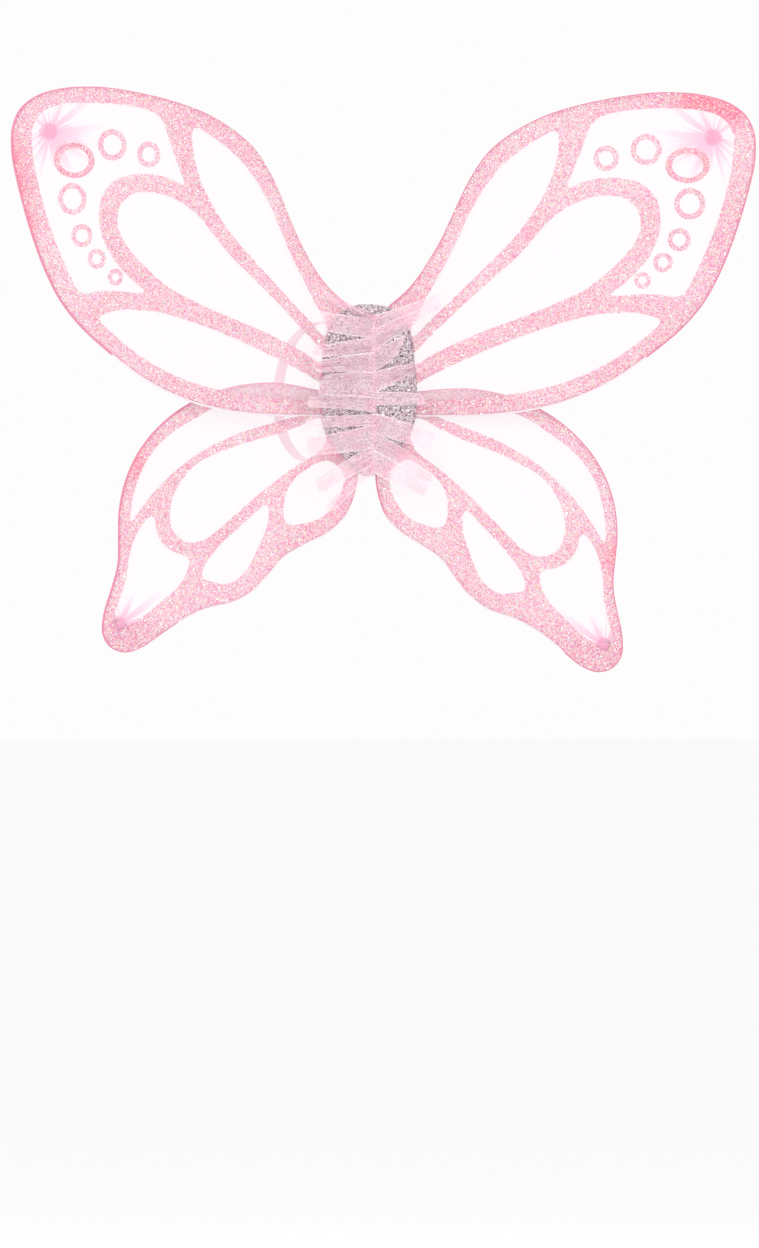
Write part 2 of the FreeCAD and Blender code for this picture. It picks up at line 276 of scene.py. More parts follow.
def make_object(name, places_mm, faces, material, smooth=True, closed=True):
    """An object from points in millimetres, with the faces of a closed one turned outwards."""
    mesh = bpy.data.meshes.new(name)
    mesh.from_pydata((np.array(places_mm) * MM).tolist(), [], [list(map(int, f)) for f in faces])
    if closed:
        shell = bmesh.new()
        shell.from_mesh(mesh)
        bmesh.ops.recalc_face_normals(shell, faces=shell.faces)
        shell.to_mesh(mesh)
        shell.free()
    mesh.update()
    if smooth:
        mesh.shade_smooth()
    mesh.materials.append(material)
    return new_object(name, mesh)


def set_uv(piece, name, per_vertex):
    """A UV map from one pair of numbers per vertex."""
    layer = piece.data.uv_layers.new(name=name)
    corners = np.empty(len(piece.data.loops), int)
    piece.data.loops.foreach_get("vertex_index", corners)
    layer.data.foreach_set("uv", per_vertex[corners].astype(np.float32).ravel())


def set_value(piece, name, per_vertex):
    """A number per vertex, for a material to read."""
    attribute = piece.data.attributes.new(name, "FLOAT", "POINT")
    attribute.data.foreach_set("value", per_vertex.astype(np.float32))


def grid_faces(rows, columns, first=0, wrap=True):
    """Quads between rows of points."""
    faces = []
    for j in range(rows - 1):
        for i in range(columns if wrap else columns - 1):
            a = first + j * columns + i
            b = first + j * columns + (i + 1) % columns
            faces.append((a, b, b + columns, a + columns))
    return faces


def fan_faces(first, columns, pole):
    """Triangles from a closed row of points to one more point."""
    return [(first + i, first + (i + 1) % columns, pole) for i in range(columns)]


def faces_forward(faces, places):
    """The same faces, all turned towards the decorated side."""
    turned = []
    for face in faces:
        a, b, c = (places[k] for k in face[:3])
        towards = np.cross(b - a, c - a)[1]
        turned.append(tuple(face) if towards < 0 else tuple(reversed(face)))
    return turned


def tube(name, course, radius, material, sides=10):
    """A closed round tube along points in millimetres."""
    ahead = np.gradient(course, axis=0)
    ahead /= np.linalg.norm(ahead, axis=1)[:, None]
    across = np.zeros_like(ahead)
    guide = np.array([0.0, 1.0, 0.0])
    for i, direction in enumerate(ahead):
        guide = guide - direction * (guide @ direction)
        guide /= np.linalg.norm(guide)
        across[i] = guide
    third = np.cross(ahead, across)
    angles = np.linspace(0, 2 * math.pi, sides, endpoint=False)
    rings = [
        course + radius * (math.cos(a) * across + math.sin(a) * third) for a in angles
    ]
    places = np.stack(rings, axis=1).reshape(-1, 3)
    faces = grid_faces(len(course), sides)
    faces.append(tuple(range(sides)))
    faces.append(tuple(len(places) - sides + i for i in reversed(range(sides))))
    return make_object(name, places, faces, material)


# ---------------------------------------------------------------- shader helpers
class Finish:
    """A material under construction, with short ways to add the nodes that it needs."""

    def __init__(self, name, roughness, **sockets):
        self.material = bpy.data.materials.new(name)
        self.material.use_nodes = True
        self.tree = self.material.node_tree
        self.shader = self.tree.nodes["Principled BSDF"]
        self.shader.inputs["Roughness"].default_value = roughness
        for socket, value in sockets.items():
            self.shader.inputs[socket.replace("_", " ")].default_value = value

    def node(self, kind, inputs=(), **settings):
        made = self.tree.nodes.new(kind)
        for key, value in settings.items():
            setattr(made, key, value)
        for key, value in dict(inputs).items():
            if isinstance(value, bpy.types.NodeSocket):
                self.tree.links.new(value, made.inputs[key])
            else:
                made.inputs[key].default_value = value
        return made

    def maths(self, operation, first, second=0.0, third=0.0, clamp=False):
        made = self.node(
            "ShaderNodeMath", {0: first, 1: second, 2: third},
            operation=operation, use_clamp=clamp,
        )
        return made.outputs[0]

    def place(self):
        return self.node("ShaderNodeTexCoord").outputs["Object"]

    def uv(self, name):
        return self.node("ShaderNodeUVMap", uv_map=name).outputs["UV"]

    def value(self, name):
        return self.node("ShaderNodeAttribute", attribute_name=name).outputs["Fac"]

    def noise(self, vector, scale, detail=2.0, roughness=0.5):
        made = self.node(
            "ShaderNodeTexNoise",
            {"Vector": vector, "Scale": scale, "Detail": detail, "Roughness": roughness},
        )
        return made.outputs["Fac"]

    def cells(self, vector, scale, feature="F1"):
        return self.node(
            "ShaderNodeTexVoronoi", {"Vector": vector, "Scale": scale}, feature=feature
        )

    def ramp(self, factor, stops, interpolation="LINEAR"):
        made = self.node("ShaderNodeValToRGB", {"Fac": factor})
        made.color_ramp.interpolation = interpolation
        elements = made.color_ramp.elements
        while len(elements) < len(stops):
            elements.new(0.5)
        for element, (position, colour) in zip(elements, stops):
            element.position = position
            element.color = (*colour, 1) if len(colour) == 3 else colour
        return made.outputs["Color"]

    def blend(self, factor, first, second, way="MIX"):
        made = self.node("ShaderNodeMix", data_type="RGBA", blend_type=way)
        for index, value in ((0, factor), (6, first), (7, second)):
            if isinstance(value, bpy.types.NodeSocket):
                self.tree.links.new(value, made.inputs[index])
            elif index == 0:
                made.inputs[index].default_value = value
            else:
                made.inputs[index].default_value = (*value, 1)
        return made.outputs[2]

    def bump(self, height, strength, distance):
        made = self.node(
            "ShaderNodeBump", {"Height": height, "Strength": strength, "Distance": distance}
        )
        return made.outputs["Normal"]

    def facets(self, colour, amount):
        """A normal thrown off by a random colour, as each flake lies at its own tilt."""
        normal = self.node("ShaderNodeNewGeometry").outputs["Normal"]
        centred = self.node(
            "ShaderNodeVectorMath", {0: colour, 1: (0.5, 0.5, 0.5)}, operation="SUBTRACT"
        )
        scaled = self.node(
            "ShaderNodeVectorMath", {0: centred.outputs[0], "Scale": amount}, operation="SCALE"
        )
        added = self.node(
            "ShaderNodeVectorMath", {0: normal, 1: scaled.outputs[0]}, operation="ADD"
        )
        return self.node(
            "ShaderNodeVectorMath", {0: added.outputs[0]}, operation="NORMALIZE"
        ).outputs[0]

    def feed(self, **sockets):
        for socket, value in sockets.items():
            self.tree.links.new(value, self.shader.inputs[socket.replace("_", " ")])
        return self.material


# ---------------------------------------------------------------- finishes
GLITTER_TINTS = [
    (0.00, (0.90, 0.26, 0.44)),
    (0.18, (0.95, 0.48, 0.65)),
    (0.42, (0.98, 0.72, 0.82)),
    (0.60, (1.00, 0.92, 0.62)),
    (0.71, (0.58, 0.88, 0.72)),
    (0.77, (0.84, 0.20, 0.55)),
    (0.84, (0.98, 0.30, 0.34)),
    (0.89, (1.00, 0.99, 0.97)),
]

# Silver flake colours from near black to white: painted reflections, dark where a flake would mirror
# dark surroundings and white where it would catch a glint.
SILVER_PAINTED_REFLECTIONS = [
    (0.00, (0.05, 0.03, 0.04)),
    (0.20, (0.26, 0.14, 0.19)),
    (0.38, (0.60, 0.40, 0.48)),
    (0.56, (0.92, 0.76, 0.83)),
    (0.72, (1.00, 0.98, 1.00)),
]


def sheer_nylon():
    """Two-way stretch nylon: nearly clear, denser at the hem and in rays round the tied tip."""
    finish = Finish("sheer_nylon", 0.55, Sheen_Weight=0.25, Sheen_Roughness=0.4)
    flat = finish.uv("from_tip")
    reach = finish.node("ShaderNodeVectorMath", {0: flat}, operation="LENGTH").outputs["Value"]
    bearing = finish.node("ShaderNodeVectorMath", {0: flat}, operation="NORMALIZE").outputs[0]
    fold = finish.noise(bearing, 2.6, 5.0, 0.72)
    inward = finish.node(
        "ShaderNodeVectorMath", {0: bearing, 1: (-0.075, -0.055, 0)}, operation="DOT_PRODUCT"
    ).outputs["Value"]
    fold = finish.maths("ADD", fold, inward)
    spread = finish.maths("POWER", finish.maths("DIVIDE", reach, 0.046), 0.55)
    level = finish.maths("SUBTRACT", fold, finish.maths("MULTIPLY_ADD", spread, 0.40, 0.235))
    fade = finish.maths("SUBTRACT", 1.0, finish.maths("DIVIDE", reach, 0.055), clamp=True)
    ray = finish.maths("MULTIPLY", finish.maths("MULTIPLY", level, 11.0, clamp=True), fade)
    gathered = finish.maths("MULTIPLY", ray, finish.value("tip_side"), clamp=True)
    hem = finish.value("hem")
    tone = finish.value("hem_tone")
    knit = finish.node(
        "ShaderNodeTexWave",
        {"Vector": finish.place(), "Scale": 900.0, "Distortion": 1.5, "Detail": 1.0},
        bands_direction="X",
    ).outputs["Fac"]
    cloudy = finish.noise(finish.place(), 22.0, 3.0)
    cloth = finish.blend(cloudy, (0.98, 0.80, 0.89), (1.0, 0.90, 0.95))
    hem_colour = finish.blend(tone, (0.84, 0.27, 0.41), (1.0, 0.86, 0.92))
    cloth = finish.blend(hem, cloth, hem_colour)
    cloth = finish.blend(gathered, cloth, (1.0, 0.36, 0.58))
    clear = finish.maths("ADD", 0.11, finish.maths("MULTIPLY", knit, 0.03))
    clear = finish.maths("ADD", clear, finish.maths("MULTIPLY", cloudy, 0.06))
    clear = finish.maths("ADD", clear, finish.maths("MULTIPLY", hem, 0.75))
    clear = finish.maths("ADD", clear, finish.maths("MULTIPLY", gathered, 0.72), clamp=True)
    return finish.feed(
        Base_Color=cloth, Alpha=clear, Normal=finish.bump(knit, 0.15, 0.0002)
    )


def print_film():
    """Glitter set in clear pink glue, deeper in colour where it was laid on thickly."""
    finish = Finish("glitter_film", 0.42, Metallic=0.1, Coat_Weight=0.2)
    place = finish.place()
    flake = finish.cells(place, 1150.0)
    tint = finish.node("ShaderNodeSeparateColor", {0: flake.outputs["Color"]}).outputs[0]
    speckle = finish.ramp(tint, GLITTER_TINTS, "CONSTANT")
    patchy = finish.noise(place, 16.0, 3.0, 0.6)
    ink = finish.ramp(patchy, [(0.38, (0.97, 0.60, 0.74)), (0.62, (0.94, 0.38, 0.55))])
    dense = finish.value("dense")
    ink = finish.blend(dense, ink, (0.98, 0.10, 0.20))
    colour = finish.blend(finish.maths("MULTIPLY_ADD", dense, -0.34, 0.66), ink, speckle)
    laid = finish.maths("MULTIPLY_ADD", patchy, 0.25, 0.38)
    laid = finish.maths("MULTIPLY_ADD", dense, 0.4, laid)
    cover = finish.maths("MULTIPLY_ADD", tint, 0.22, laid, clamp=True)
    return finish.feed(
        Base_Color=colour, Alpha=cover, Normal=finish.facets(flake.outputs["Color"], 0.6)
    )


def glitter_flake(name, tints, metal):
    """Loose hexagonal flakes, each with its own tint; on the silver flakes the near-black and white
    tints are painted reflections and glints.
    """
    finish = Finish(name, 0.22, Metallic=metal)
    tint = finish.value("tint")
    shade = finish.noise(finish.place(), 400.0, 1.0)
    colour = finish.blend(
        finish.maths("MULTIPLY", shade, 0.25), finish.ramp(tint, tints, "CONSTANT"), (1, 1, 1)
    )
    return finish.feed(Base_Color=colour)


def silver_cloth():
    """Woven cloth closely covered in fine silver glitter; its near-black flakes are painted dark
    reflections and its white flakes painted glints.
    """
    finish = Finish("silver_glitter_cloth", 0.35, Metallic=0.25)
    place = finish.place()
    flake = finish.cells(place, 1300.0)
    tint = finish.node("ShaderNodeSeparateColor", {0: flake.outputs["Color"]}).outputs[1]
    colour = finish.ramp(tint, SILVER_PAINTED_REFLECTIONS, "CONSTANT")
    worn = finish.noise(place, 60.0, 3.0)
    colour = finish.blend(finish.maths("MULTIPLY", worn, 0.22), colour, (0.50, 0.34, 0.42))
    return finish.feed(
        Base_Color=colour, Normal=finish.facets(flake.outputs["Color"], 0.9)
    )


def soft_tulle():
    """Fine tulle net: threads round small open meshes, denser where gathered or folded over."""
    finish = Finish("soft_tulle", 0.7, Sheen_Weight=0.25)
    flat = finish.uv("cloth")
    net = finish.cells(finish.place(), 700.0, "DISTANCE_TO_EDGE").outputs["Distance"]
    thread = finish.ramp(net, [(0.06, (1, 1, 1)), (0.24, (0, 0, 0))])
    edge = finish.value("edge")
    gather = finish.value("gather")
    fold = finish.noise(flat, 70.0, 2.0)
    colour = finish.ramp(fold, [(0.35, (1.0, 0.60, 0.72)), (0.65, (1.0, 0.78, 0.86))])
    colour = finish.blend(edge, colour, (1.0, 0.92, 0.95))
    uneven = finish.noise(flat, 45.0, 3.0, 0.6)
    cover = finish.maths("MULTIPLY_ADD", thread, 0.46, finish.maths("MULTIPLY", uneven, 0.30))
    cover = finish.maths("MULTIPLY_ADD", gather, 0.22, cover)
    cover = finish.maths("ADD", cover, finish.maths("MULTIPLY", edge, 0.5), clamp=True)
    return finish.feed(
        Base_Color=colour, Alpha=cover, Normal=finish.bump(thread, 0.3, 0.0002)
    )


def gathered_nylon():
    """The bunched end of a sleeve, many layers deep."""
    finish = Finish("gathered_nylon", 0.6, Sheen_Weight=0.4)
    folds = finish.noise(finish.place(), 900.0, 4.0, 0.65)
    colour = finish.ramp(folds, [(0.3, (1.0, 0.46, 0.66)), (0.7, (1.0, 0.72, 0.83))])
    return finish.feed(Base_Color=colour, Normal=finish.bump(folds, 0.6, 0.0006))


def pressed_felt():
    """Pink felt with short tangled fibres."""
    finish = Finish("pressed_felt", 0.95, Sheen_Weight=0.5)
    place = finish.place()
    fibre = finish.noise(place, 2600.0, 5.0, 0.7)
    mottle = finish.noise(place, 260.0, 4.0, 0.65)
    colour = finish.ramp(fibre, [(0.30, (0.86, 0.46, 0.60)), (0.70, (0.97, 0.70, 0.80))])
    patches = finish.ramp(mottle, [(0.40, (0, 0, 0)), (0.60, (0.28, 0.28, 0.28))])
    colour = finish.blend(patches, colour, (1.0, 0.88, 0.93))
    return finish.feed(Base_Color=colour, Normal=finish.bump(fibre, 0.7, 0.0008))


def ribbed_elastic():
    """Knitted elastic with fine cords along it and cross threads between them."""
    finish = Finish("ribbed_elastic", 0.75, Sheen_Weight=0.3)
    parts = finish.node("ShaderNodeSeparateXYZ", {0: finish.uv("strap")}).outputs
    picks = finish.maths("SINE", finish.maths("MULTIPLY", parts["X"], 2 * math.pi / 0.0011))
    cords = finish.maths("SINE", finish.maths("MULTIPLY", parts["Y"], 2 * math.pi / 0.0010))
    weave = finish.maths("MULTIPLY_ADD", picks, 0.3, finish.maths("MULTIPLY", cords, 0.7))
    colour = finish.ramp(
        finish.maths("MULTIPLY_ADD", weave, 0.5, 0.5),
        [(0.1, (0.90, 0.62, 0.72)), (0.8, (0.99, 0.84, 0.90))],
    )
    return finish.feed(Base_Color=colour, Normal=finish.bump(weave, 0.5, 0.0003))


def coated_wire():
    """Steel wire in a smooth pale pink coating, scuffed in places."""
    finish = Finish("coated_wire", 0.35, Coat_Weight=0.3)
    scuff = finish.noise(finish.place(), 180.0, 4.0)
    colour = finish.ramp(scuff, [(0.35, (0.90, 0.56, 0.66)), (0.65, (0.97, 0.76, 0.83))])
    return finish.feed(Base_Color=colour)


def twisted_thread():
    """Polyester sewing thread."""
    finish = Finish("twisted_thread", 0.6, Sheen_Weight=0.2)
    twist = finish.node(
        "ShaderNodeTexWave", {"Vector": finish.place(), "Scale": 1200.0, "Distortion": 1.0},
        bands_direction="DIAGONAL",
    ).outputs["Fac"]
    colour = finish.ramp(twist, [(0.2, (0.93, 0.60, 0.72)), (0.8, (0.99, 0.84, 0.90))])
    return finish.feed(Base_Color=colour, Normal=finish.bump(twist, 0.4, 0.0002))


def plain_sheet(name, dark, light, roughness, scale):
    """A sheet or glue layer inside the panel, slightly mottled."""
    finish = Finish(name, roughness)
    mottle = finish.noise(finish.place(), scale, 4.0)
    colour = finish.ramp(mottle, [(0.35, dark), (0.65, light)])
    return finish.feed(Base_Color=colour, Normal=finish.bump(mottle, 0.2, 0.0003))


def matt_studio(name, colour):
    """A plain matt surface for the surroundings."""
    finish = Finish(name, 0.9)
    grain = finish.noise(finish.place(), 3.0, 2.0)
    return finish.feed(Base_Color=finish.ramp(grain, [(0.3, colour), (0.7, colour)]))


NYLON = sheer_nylon()
GLITTER_FILM = print_film()
PINK_FLAKES = glitter_flake("pink_glitter_flakes", GLITTER_TINTS, 0.4)
SILVER_CLOTH = silver_cloth()
SILVER_FLAKES = glitter_flake("silver_glitter_flakes", SILVER_PAINTED_REFLECTIONS, 0.5)
TULLE = soft_tulle()
GATHERED_NYLON = gathered_nylon()
FELT = pressed_felt()
ELASTIC = ribbed_elastic()
COATED_WIRE = coated_wire()
THREAD = twisted_thread()


# ---------------------------------------------------------------- geometry-node tools
def node_tool(name, inputs):
    """A geometry-node tree with named inputs, and a short way to add nodes to it."""
    tree = bpy.data.node_groups.new(name, "GeometryNodeTree")
    tree.interface.new_socket("Geometry", in_out="INPUT", socket_type="NodeSocketGeometry")
    for label, kind in inputs:
        tree.interface.new_socket(label, in_out="INPUT", socket_type="NodeSocket" + kind)
    tree.interface.new_socket("Geometry", in_out="OUTPUT", socket_type="NodeSocketGeometry")

    def add(kind, links=(), **settings):
        made = tree.nodes.new(kind)
        for key, value in settings.items():
            setattr(made, key, value)
        for key, value in dict(links).items():
            if isinstance(value, bpy.types.NodeSocket):
                tree.links.new(value, made.inputs[key])
            else:
                made.inputs[key].default_value = value
        return made

    return tree, add, tree.nodes.new("NodeGroupInput").outputs


def end_tree(tree, add, instances, material):
    """Makes the instances real, gives them their finish and ends the tree."""
    real = add("GeometryNodeRealizeInstances", {0: instances})
    painted = add(
        "GeometryNodeSetMaterial", {"Geometry": real.outputs[0], "Material": material}
    )
    out = tree.nodes.new("NodeGroupOutput")
    tree.links.new(painted.outputs[0], out.inputs[0])
    return tree


def scatter_tree():
    """Hexagonal flakes scattered over a surface, each tipped and tinted at random."""
    tree, add, given = node_tool(
        "scatter_flakes",
        [("Flakes per square metre", "Float"), ("Flake radius", "Float"), ("Tilt", "Float"),
         ("Seed", "Int"), ("Finish", "Material")],
    )
    points = add(
        "GeometryNodeDistributePointsOnFaces",
        {"Mesh": given["Geometry"], "Density": given["Flakes per square metre"],
         "Seed": given["Seed"]},
    )
    flake = add(
        "GeometryNodeMeshCircle", {"Vertices": 6, "Radius": given["Flake radius"]},
        fill_type="NGON",
    )
    size = add(
        "FunctionNodeRandomValue", {2: 0.55, 3: 1.25, "Seed": given["Seed"]}, data_type="FLOAT"
    )
    placed = add(
        "GeometryNodeInstanceOnPoints",
        {"Points": points.outputs["Points"], "Instance": flake.outputs["Mesh"],
         "Rotation": points.outputs["Rotation"], "Scale": size.outputs[1]},
    )
    low = add("ShaderNodeVectorMath", {0: (-1, -1, 0), "Scale": given["Tilt"]}, operation="SCALE")
    high = add("ShaderNodeVectorMath", {0: (1, 1, 9), "Scale": given["Tilt"]}, operation="SCALE")
    lean = add(
        "FunctionNodeRandomValue",
        {0: low.outputs[0], 1: high.outputs[0], "Seed": given["Seed"]}, data_type="FLOAT_VECTOR",
    )
    tipped = add(
        "GeometryNodeRotateInstances",
        {"Instances": placed.outputs[0], "Rotation": lean.outputs[0]},
    )
    tint = add(
        "FunctionNodeRandomValue", {2: 0.0, 3: 1.0, "Seed": given["Seed"]}, data_type="FLOAT"
    )
    tinted = add(
        "GeometryNodeStoreNamedAttribute",
        {"Geometry": tipped.outputs[0], "Name": "tint", "Value": tint.outputs[1]},
        data_type="FLOAT", domain="INSTANCE",
    )
    return end_tree(tree, add, tinted.outputs[0], given["Finish"])


def stitch_tree():
    """Short rounded stitches at even steps along a line."""
    tree, add, given = node_tool(
        "stitch_row",
        [("Stitch pitch", "Float"), ("Stitch length", "Float"), ("Thread radius", "Float"),
         ("Finish", "Material")],
    )
    line = add("GeometryNodeMeshToCurve", {"Mesh": given["Geometry"]})
    steps = add(
        "GeometryNodeResampleCurve",
        {"Curve": line.outputs[0], "Length": given["Stitch pitch"]}, mode="LENGTH",
    )
    along = add("GeometryNodeInputTangent")
    facing = add(
        "FunctionNodeAlignRotationToVector", {"Vector": along.outputs[0]}, axis="Z"
    )
    grain = add(
        "GeometryNodeMeshUVSphere", {"Segments": 8, "Rings": 5, "Radius": 1.0}
    )
    shape = add(
        "ShaderNodeCombineXYZ",
        {0: given["Thread radius"], 1: given["Thread radius"], 2: given["Stitch length"]},
    )
    placed = add(
        "GeometryNodeInstanceOnPoints",
        {"Points": steps.outputs[0], "Instance": grain.outputs[0],
         "Rotation": facing.outputs[0], "Scale": shape.outputs[0]},
    )
    return end_tree(tree, add, placed.outputs[0], given["Finish"])


SCATTER = scatter_tree()
STITCHES = stitch_tree()


def grown(name, base, tree, settings):
    """A plain mesh object: what a geometry-node tree makes of a base object, which is removed."""
    modifier = base.modifiers.new("grow", "NODES")
    modifier.node_group = tree
    for item in tree.interface.items_tree:
        if item.in_out == "INPUT" and item.name in settings:
            modifier[item.identifier] = settings[item.name]
    bpy.context.view_layer.update()
    depsgraph = bpy.context.evaluated_depsgraph_get()
    mesh = bpy.data.meshes.new_from_object(base.evaluated_get(depsgraph))
    mesh.name = name
    base.modifiers.remove(modifier)
    bpy.data.objects.remove(base)
    return new_object(name, mesh)


def stitches_along(name, course, pitch, length, radius):
    """Stitches along a line of points in millimetres."""
    mesh = bpy.data.meshes.new(name + "_line")
    links = [(i, i + 1) for i in range(len(course) - 1)]
    mesh.from_pydata((np.array(course) * MM).tolist(), links, [])
    base = new_object(name + "_line", mesh)
    settings = {
        "Stitch pitch": pitch * MM, "Stitch length": length * MM / 2,
        "Thread radius": radius * MM, "Finish": THREAD,
    }
    piece = grown(name, base, STITCHES, settings)
    piece.data.shade_smooth()
    return piece


# ---------------------------------------------------------------- lobes
# Where the glitter lies thickest: centre out, centre up, reach.
DENSE_SPOTS = {
    "left_upper": [(279, 160, 14), (277, 137, 13), (267, 112, 11)],
    "right_upper": [(236, 206, 18), (262, 200, 14)],
    "left_lower": [(176, -50, 14)],
    "right_lower": [(180, -118, 15)],
}


def density_of(spots, flat):
    """How thickly the glitter lies at each point, from 0 to 1."""
    total = np.zeros(len(flat))
    for out, up, reach in spots:
        total += np.exp(-((flat[:, 0] - out) ** 2 + (flat[:, 1] - up) ** 2) / reach ** 2)
    return np.clip(total, 0, 1)


class Lobe:
    """One wing lobe: its flat shapes and how they stand in the frame."""

    def __init__(self, side, level):
        self.name = side + "_" + level
        self.body = self.name + "_wing"
        self.sign = 1 if side == "right" else -1
        self.upper = level == "upper"
        bend = 0 if self.upper else -LOWER_BEND * self.sign
        outline, cells = (UPPER_OUTLINE, UPPER_CELLS) if self.upper else (LOWER_OUTLINE, LOWER_CELLS)
        knot = UPPER_KNOT if self.upper else LOWER_KNOT
        self.plane = UPPER_PLANE if self.upper else LOWER_PLANE
        self.sweep = UPPER_SWEEP if self.upper else LOWER_SWEEP
        turned = (lambda p: np.array(p, float)) if self.upper else (lambda p: spun(p, bend))
        self.outline = rounded_course(turned(outline))
        self.cells = [rounded_course(turned(cell), step=1.2) for cell in cells]
        self.knot = turned([knot])[0]
        self.middle = turned([(140, 90) if self.upper else (110, -90)])[0]
        self.normals = outward_normals(self.outline)
        self.cut_size = tuple(float(round(side, 1)) * MM for side in np.ptp(outline, axis=0))

    def place(self, flat, lift):
        """Points of the lobe's plane, lifted towards the decorated side, in the frame."""
        depth = self.plane - lift
        angle = self.sweep * smooth_step((flat[:, 0] - FOLD_START) / (FOLD_END - FOLD_START))
        dx, dy = flat[:, 0] - FOLD_LINE, depth - FOLD_DEPTH
        x = FOLD_LINE + dx * np.cos(angle) + dy * np.sin(angle)
        y = FOLD_DEPTH - dx * np.sin(angle) + dy * np.cos(angle)
        return np.c_[self.sign * x, y, flat[:, 1]]

    def half_gap(self, flat):
        """How far each skin stands off the lobe's middle plane: the wire holds them apart."""
        edge = distance_to(flat, self.outline[::2])
        ripple = 0.12 * np.sin(flat[:, 0] * 0.11 + flat[:, 1] * 0.07)
        return 0.65 + (HEM_RADIUS - 0.65) * np.exp(-np.maximum(edge - HEM_RADIUS, 0) / 16) + (
            ripple * np.clip((edge - 4) / 30, 0, 1)
        )

    def piping(self):
        """How far the print stops short of the edge: more along the lower edges."""
        down = np.clip((-self.normals[:, 1] - 0.55) / 0.3, 0, 1)
        near = self.outline[:, 0] < (190 if self.upper else 135)
        return 1.0 + 0.7 * down * near

    def join(self, piece):
        """Bakes the piece's placement into its mesh; the bend at the fold line is already in its
        points.
        """
        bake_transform(piece)


def mark_sleeve(piece, front_count, hem_count, front_pole):
    """Tells the material which points are in the hem, and which on the knot's side of the cloth."""
    hem = np.zeros(len(piece.data.vertices))
    hem[front_count:front_count + hem_count] = 1
    set_value(piece, "hem", hem)
    side = np.zeros(len(hem))
    side[front_count + hem_count:] = 1
    side[front_pole] = 0
    set_value(piece, "tip_side", side)


def make_sleeve(lobe):
    """The nylon sleeve: a front skin, a hem round the wire and a back skin, as one closed cloth."""
    loop = rounded_course(lobe.outline[::3], step=2.2)
    normal = outward_normals(loop)
    inner = loop - normal * HEM_RADIUS
    columns = len(loop)
    rows = 30
    shares = 1 - (1 - np.linspace(0, 1, rows + 1)[1:]) ** 1.25
    skin = np.concatenate([lobe.middle + share * (inner - lobe.middle) for share in shares])
    gap = lobe.half_gap(skin)
    front = lobe.place(skin, gap)
    back = lobe.place(skin, -gap).reshape(rows, columns, 3)[::-1].reshape(-1, 3)
    hem_flat, hem_lift = [], []
    for turn in np.linspace(0, math.pi, 8)[1:-1]:
        hem_flat.append(inner + normal * HEM_RADIUS * math.sin(turn))
        hem_lift.append(np.full(columns, HEM_RADIUS * math.cos(turn)))
    hem_flat, hem_lift = np.concatenate(hem_flat), np.concatenate(hem_lift)
    hem = lobe.place(hem_flat, hem_lift)
    middle = lobe.middle[None, :]
    poles = [lobe.place(middle, lift * lobe.half_gap(middle)) for lift in (1, -1)]
    places = np.vstack([front, hem, back, *poles])
    total = 2 * rows + 6
    first_pole, last_pole = len(places) - 2, len(places) - 1
    faces = grid_faces(total, columns)
    faces += fan_faces(0, columns, first_pole)
    faces += fan_faces((total - 1) * columns, columns, last_pole)
    piece = make_object(lobe.name + "_nylon_sleeve", places, faces, NYLON)
    back_flat = skin.reshape(rows, columns, 2)[::-1].reshape(-1, 2)
    flat = np.vstack([skin, hem_flat, back_flat, middle, middle])
    set_uv(piece, "from_tip", (flat - lobe.knot) * MM)
    mark_sleeve(piece, len(skin), len(hem_flat), first_pole)
    down = np.clip((-normal[:, 1] - 0.4) / 0.3, 0, 1) * (loop[:, 0] < (200 if lobe.upper else 140))
    set_value(piece, "hem_tone", np.r_[np.tile(down, total), 0, 0])
    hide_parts(lobe.name + "_sleeve", lobe.name + "_sleeve_root")
    lobe.join(piece)


def film_triangles(lobe):
    """The printed film's flat points, triangles and rims."""
    ragged = np.random.default_rng(11)
    rim = lobe.outline - lobe.normals * lobe.piping()[:, None]
    loops = [rim, *lobe.cells]
    loops = [loop + ragged.normal(0, 0.13, loop.shape) for loop in loops]
    grid_x, grid_y = np.meshgrid(
        np.arange(8, 285, PRINT_GRID), np.arange(-205, 215, PRINT_GRID)
    )
    fill = np.c_[grid_x.ravel(), grid_y.ravel()]
    fill = fill[inside(fill, loops[0])]
    for cell in loops[1:]:
        fill = fill[~inside(fill, cell)]
    for loop in loops:
        fill = fill[distance_to(fill, loop) > 1.6]
    points = np.vstack([*loops, fill])
    edges = []
    start = 0
    for loop in loops:
        count = len(loop)
        edges += [(start + i, start + (i + 1) % count) for i in range(count)]
        start += count
    made = delaunay_2d_cdt([Vector(p) for p in points.tolist()], edges, [], 0, 1e-5)
    flat = np.array([tuple(p) for p in made[0]])
    triangles = np.array([tuple(f) for f in made[2]])
    centres = flat[triangles].mean(axis=1)
    keep = inside(centres, loops[0])
    for cell in loops[1:]:
        keep &= ~inside(centres, cell)
    return flat, triangles[keep]


def slab_faces(triangles, count):
    """Top, bottom and rim faces of a film whose bottom points follow its top points."""
    top = [tuple(t) for t in triangles]
    bottom = [tuple(count + i for i in reversed(t)) for t in top]
    edges = {(a, b) for t in top for a, b in zip(t, t[1:] + t[:1])}
    free = sorted((a, b) for a, b in edges if (b, a) not in edges)
    walls = [(b, a, count + a, count + b) for a, b in free]
    return top + bottom + walls


def add_flakes(name, bed, faces, seed):
    """Loose flakes on the printed film."""
    base = make_object(name + "_bed", bed, faces, PINK_FLAKES, closed=False)
    settings = {
        "Flakes per square metre": 520000.0, "Flake radius": 0.45 * MM, "Tilt": 0.5,
        "Seed": seed, "Finish": PINK_FLAKES,
    }
    flakes = grown(name, base, SCATTER, settings)
    return flakes


